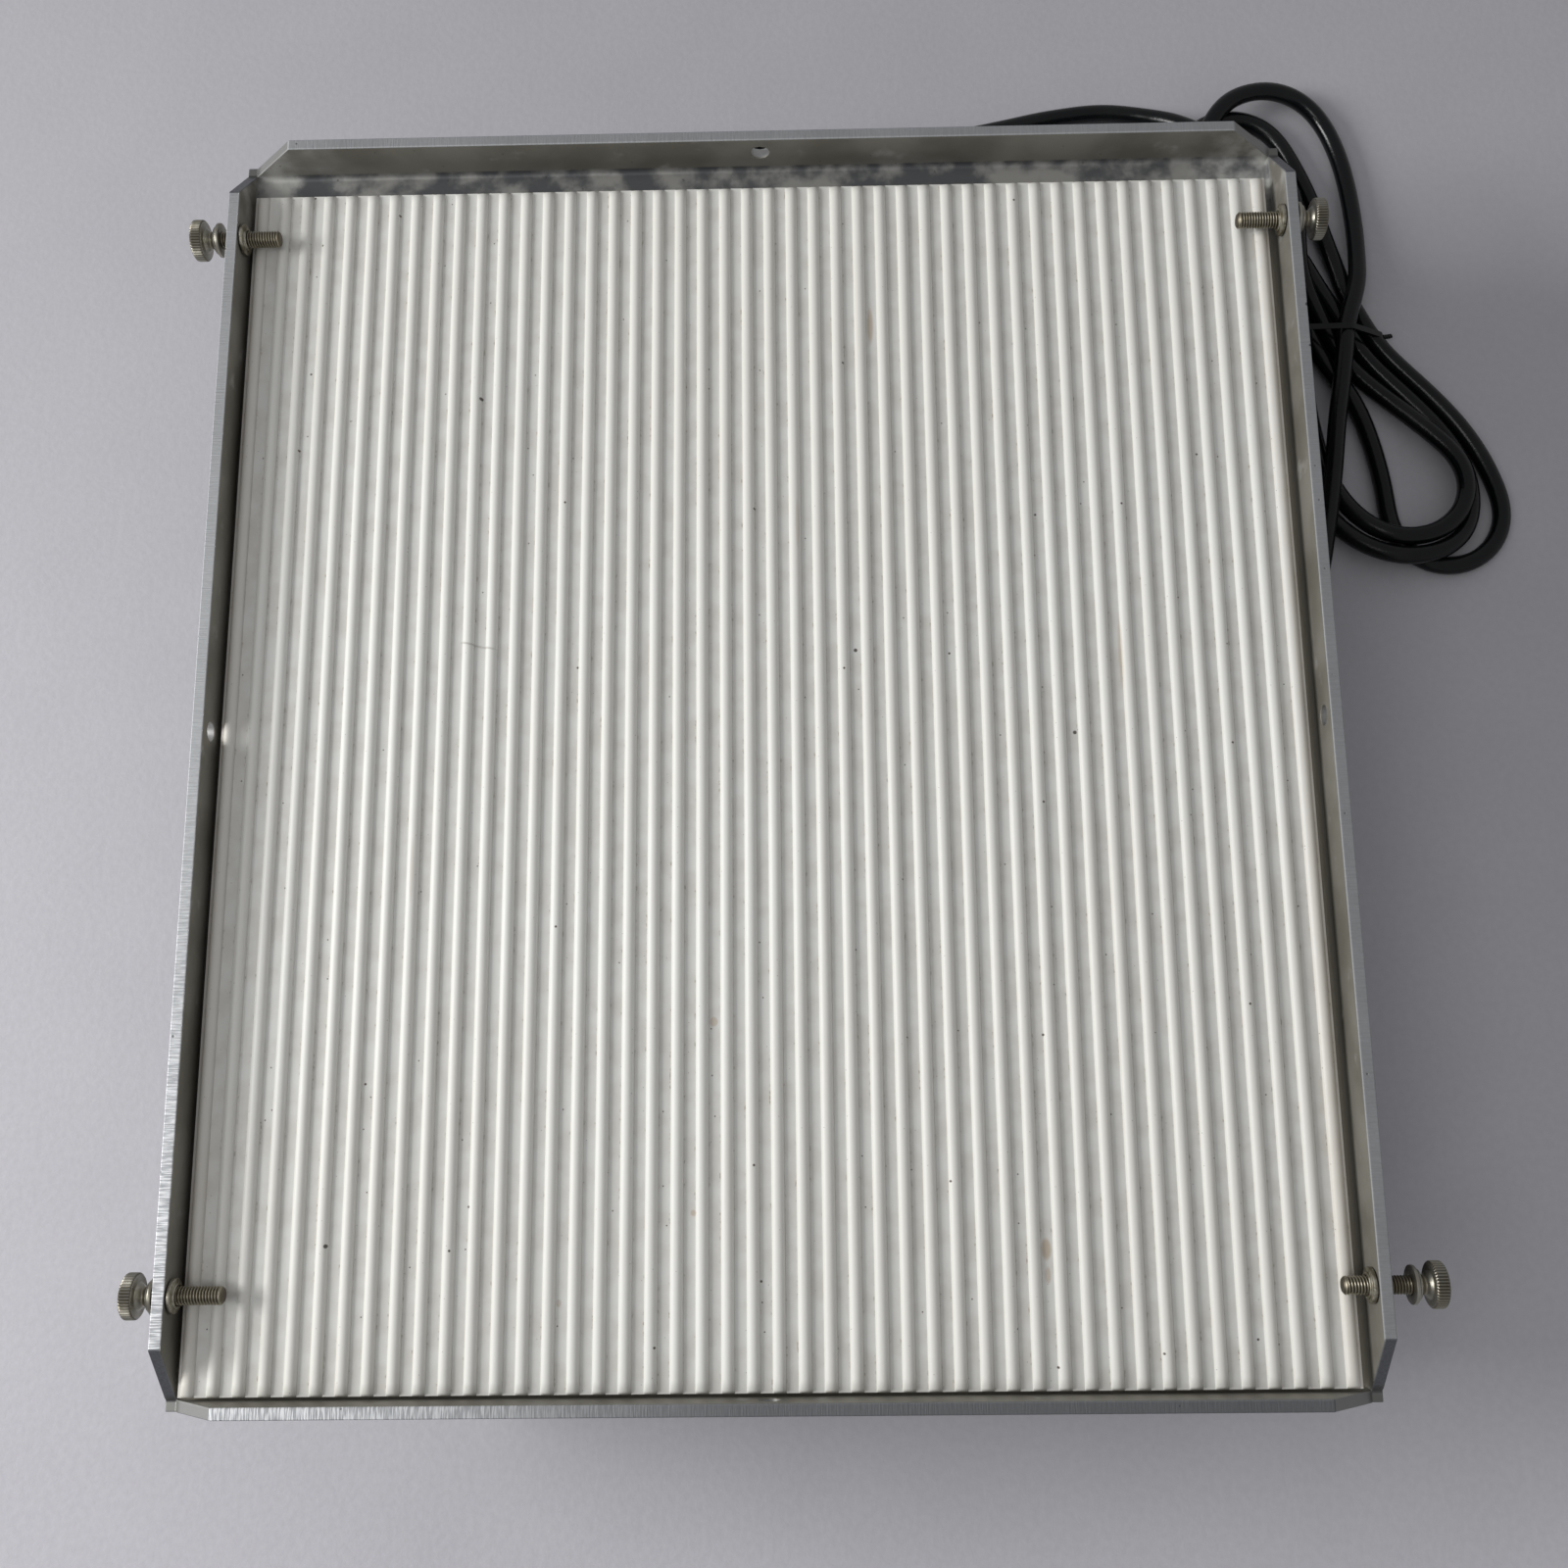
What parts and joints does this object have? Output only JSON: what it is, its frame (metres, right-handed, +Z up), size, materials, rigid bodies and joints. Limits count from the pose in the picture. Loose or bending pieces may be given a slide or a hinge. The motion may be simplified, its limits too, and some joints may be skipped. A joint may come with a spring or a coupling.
{
  "type": "light table",
  "caption": "Shallow aluminium tray over a lamp housing, with a loose ribbed opal diffuser, knurled thumb screws through its side flanges, rubber feet and a tied mains lead.",
  "frame": {"origin": "on the table top, under the middle of the tray", "axes": "+Z up, front towards -Y, +X to the right"},
  "size_m": [0.4157, 0.4289, 0.081],
  "materials": {
    "tray_aluminium": "brushed mill finish with saw-cut edges",
    "opal_diffuser": "aged opal plastic",
    "glass_plate": "clear, ground edges",
    "nickel": "bright nickel, lightly tarnished",
    "tarnished_nickel": "nickel plate turned brown",
    "housing_paint": "grey hammered enamel",
    "plate_aluminium": "mill finish",
    "foot_rubber": "moulded black",
    "zinc": "zinc plated",
    "reflector_paint": "white enamel",
    "lamp_glass": "phosphor-coated tube",
    "holder_plastic": "moulded white",
    "ballast_steel": "plain steel can",
    "switch_plastic": "black nylon",
    "rocker_plastic": "black",
    "cord_jacket": "black flexible jacket"
  },
  "bodies": {
    "table": {"tray": "tray_aluminium", "glass_plate": "glass_plate", "clinch_nut_front_left": "tarnished_nickel", "clinch_nut_back_left": "tarnished_nickel", "clinch_nut_front_right": "tarnished_nickel", "clinch_nut_back_right": "tarnished_nickel", "lamp_housing": "housing_paint", "base_plate": "plate_aluminium", "foot_1": "foot_rubber", "foot_2": "foot_rubber", "foot_3": "foot_rubber", "foot_4": "foot_rubber", "foot_screw_1": "zinc", "foot_screw_2": "zinc", "foot_screw_3": "zinc", "foot_screw_4": "zinc", "base_screw_1": "zinc", "base_screw_2": "zinc", "base_screw_3": "zinc", "base_screw_4": "zinc", "tray_screw_1": "zinc", "tray_screw_2": "zinc", "tray_screw_3": "zinc", "tray_screw_4": "zinc", "reflector": "reflector_paint", "lamp_1": "lamp_glass", "lamp_2": "lamp_glass", "lamp_3": "lamp_glass", "lamp_4": "lamp_glass", "holder_1_front": "holder_plastic", "holder_1_back": "holder_plastic", "holder_2_front": "holder_plastic", "holder_2_back": "holder_plastic", "holder_3_front": "holder_plastic", "holder_3_back": "holder_plastic", "holder_4_front": "holder_plastic", "holder_4_back": "holder_plastic", "terminal_block": "holder_plastic", "ballast_left": "ballast_steel", "ballast_right": "ballast_steel", "switch_body": "switch_plastic", "inner_lead": "cord_jacket", "cord_lead": "cord_jacket", "cord_hank": "cord_jacket", "cord_tail": "cord_jacket", "cord_tie": "cord_jacket", "strain_relief": "cord_jacket", "plug": "cord_jacket"},
    "diffuser": {"ribbed_diffuser": "opal_diffuser"},
    "rocker": {"switch_rocker": "rocker_plastic"},
    "front_left_washer": {"screw_washer_front_left": "nickel"},
    "front_left_screw": {"thumb_screw_front_left": "nickel"},
    "back_left_washer": {"screw_washer_back_left": "nickel"},
    "back_left_screw": {"thumb_screw_back_left": "nickel"},
    "front_right_washer": {"screw_washer_front_right": "nickel"},
    "front_right_screw": {"thumb_screw_front_right": "nickel"},
    "back_right_washer": {"screw_washer_back_right": "nickel"},
    "back_right_screw": {"thumb_screw_back_right": "nickel"}
  },
  "joints": [
    {"name": "diffuser_slide", "type": "slide", "parent": "table", "child": "diffuser", "axis": [0, 1, 0], "range_m": [0, 0.0093]},
    {"name": "power_rocker", "type": "hinge", "parent": "table", "child": "rocker", "pos_m": [0.095, -0.1654, 0.0246], "axis": [0, 0, 1], "range_deg": [0, 18]},
    {"name": "front_left_travel", "type": "slide", "parent": "table", "child": "front_left_washer", "axis": [-1, 0, 0], "range_m": [0, 0.0117]},
    {"name": "front_left_turn", "type": "hinge", "parent": "front_left_washer", "child": "front_left_screw", "pos_m": [-0.15875, -0.1518, 0.075], "axis": [-1, 0, 0], "range_deg": [-2, 5309]},
    {"name": "back_left_travel", "type": "slide", "parent": "table", "child": "back_left_washer", "axis": [-1, 0, 0], "range_m": [-0.00235, 0.00935]},
    {"name": "back_left_turn", "type": "hinge", "parent": "back_left_washer", "child": "back_left_screw", "pos_m": [-0.15875, 0.1518, 0.075], "axis": [-1, 0, 0], "range_deg": [-1068, 4243]},
    {"name": "front_right_travel", "type": "slide", "parent": "table", "child": "front_right_washer", "axis": [1, 0, 0], "range_m": [-0.0059, 0.0058]},
    {"name": "front_right_turn", "type": "hinge", "parent": "front_right_washer", "child": "front_right_screw", "pos_m": [0.15875, -0.1518, 0.075], "axis": [1, 0, 0], "range_deg": [-2678, 2633]},
    {"name": "back_right_travel", "type": "slide", "parent": "table", "child": "back_right_washer", "axis": [1, 0, 0], "range_m": [0, 0.0117]},
    {"name": "back_right_turn", "type": "hinge", "parent": "back_right_washer", "child": "back_right_screw", "pos_m": [0.15875, 0.1518, 0.075], "axis": [1, 0, 0], "range_deg": [-2, 5309]}
  ],
  "couplings": [
    {"joint": "front_left_turn", "follows": "front_left_travel", "rad_per_m": 7915.8},
    {"joint": "back_left_turn", "follows": "back_left_travel", "rad_per_m": 7915.8},
    {"joint": "front_right_turn", "follows": "front_right_travel", "rad_per_m": 7915.8},
    {"joint": "back_right_turn", "follows": "back_right_travel", "rad_per_m": 7915.8}
  ]
}
